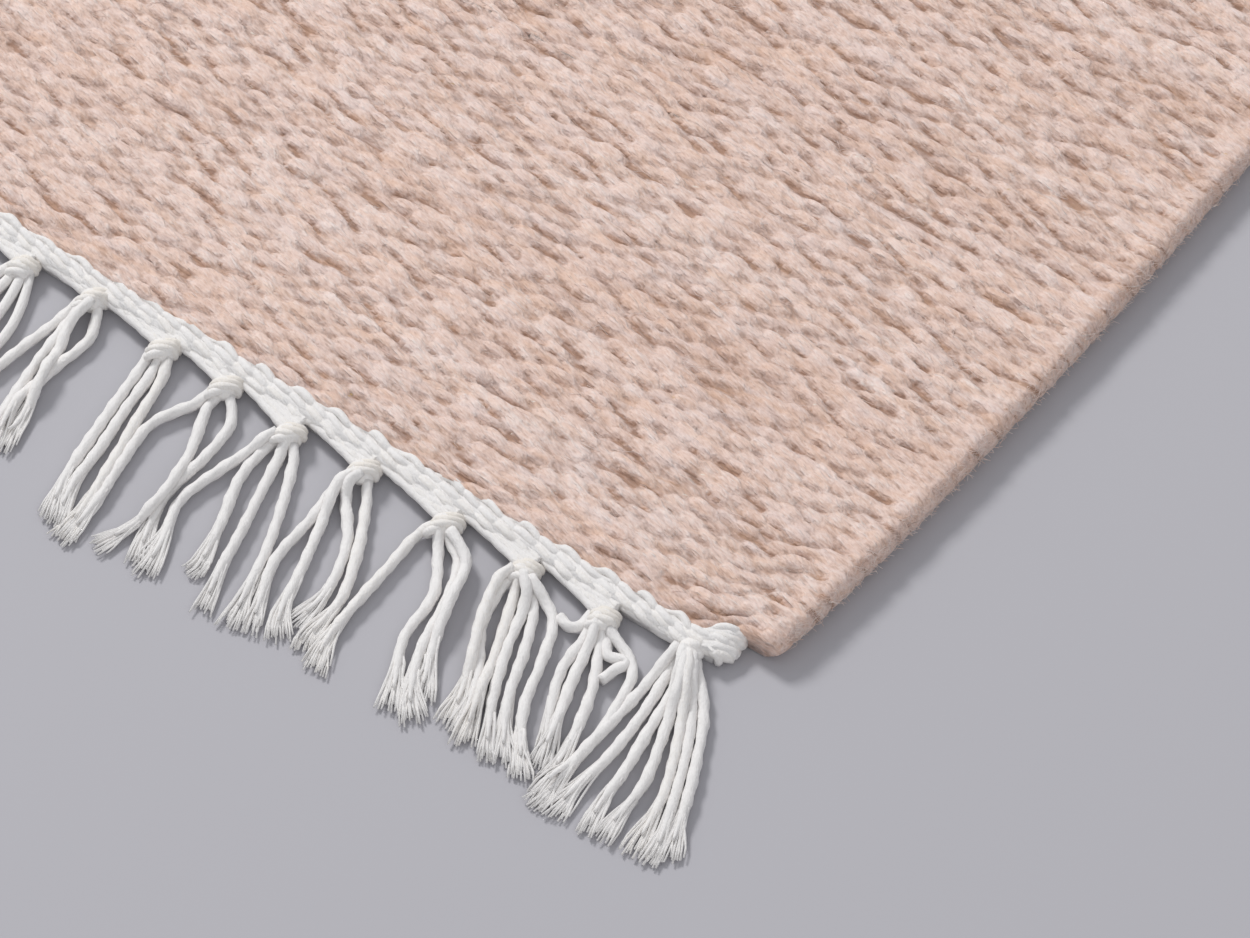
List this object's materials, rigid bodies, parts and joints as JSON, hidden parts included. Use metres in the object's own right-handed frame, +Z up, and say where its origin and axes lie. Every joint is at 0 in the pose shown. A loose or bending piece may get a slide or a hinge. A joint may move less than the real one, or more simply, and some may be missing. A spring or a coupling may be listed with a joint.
{
  "type": "dhurrie rug",
  "caption": "Small flat-woven wool rug with wrapped selvedges, white cotton headings and knotted fringes at both ends.",
  "frame": {"origin": "middle of the rug on the surface that it lies on", "axes": "X along the weft, from selvedge to selvedge; Y along the warp, from fringe to fringe; Z up, out of the floor"},
  "size_m": [0.6168, 0.9938, 0.007],
  "materials": {
    "wool": "heathered beige wool weft, matt, softly fuzzy",
    "cotton_heading": "white cotton plain weave, matt",
    "cotton_fringe": "white twisted cotton warp yarn, matt"
  },
  "bodies": {
    "root": {"wool_field": "wool", "heading_near": "cotton_heading", "heading_far": "cotton_heading", "fringe_near": "cotton_fringe", "fringe_far": "cotton_fringe"}
  },
  "joints": []
}
